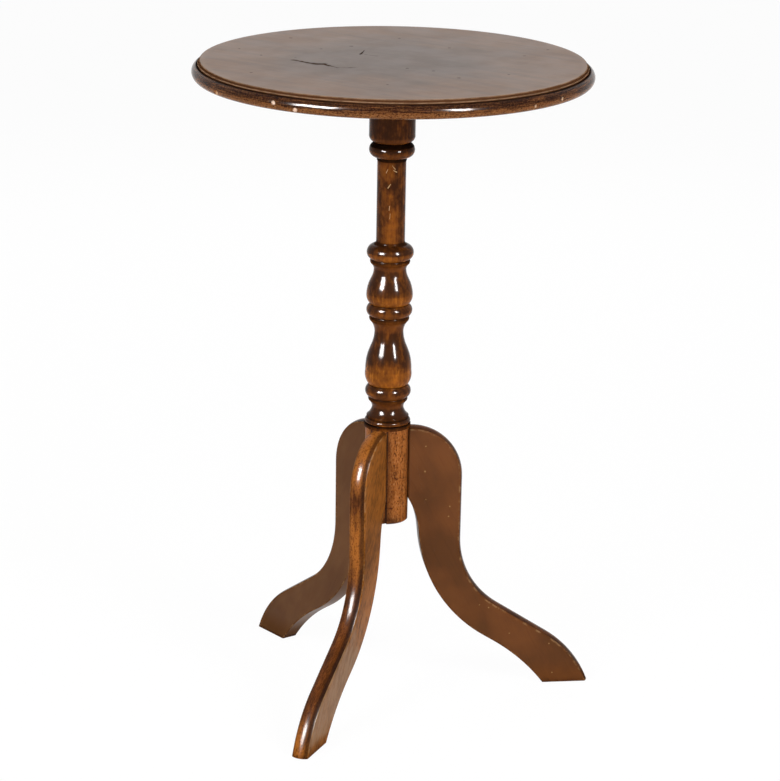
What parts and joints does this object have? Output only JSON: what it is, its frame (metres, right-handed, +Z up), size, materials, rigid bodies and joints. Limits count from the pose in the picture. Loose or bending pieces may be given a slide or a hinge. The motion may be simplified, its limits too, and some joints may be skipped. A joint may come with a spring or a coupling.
{
  "type": "wine table",
  "caption": "Small round fixed-top pedestal table: moulded-edge top on a turned baluster column with dovetailed S-curved tripod legs.",
  "frame": {"origin": "on the floor, on the axis of the column", "axes": "+Z up along the column, +X along the right leg; the other legs follow at equal angles"},
  "size_m": [0.3832, 0.3678, 0.61],
  "materials": {
    "top_wood": "worn satin polish over brown hardwood",
    "column_wood": "glossy amber-brown lacquer",
    "leg_wood": "reddish-brown polish, glossy on the crown and duller on the sides",
    "cleat_wood": "stained, unpolished",
    "wedge_wood": "bare hardwood",
    "screw_steel": "dulled steel"
  },
  "bodies": {
    "root": {"table_top": "top_wood", "cleat": "cleat_wood", "cleat_screws": "screw_steel", "column": "column_wood", "tenon_wedge": "wedge_wood", "right_leg": "leg_wood", "left_leg": "leg_wood", "front_leg": "leg_wood"}
  },
  "joints": []
}
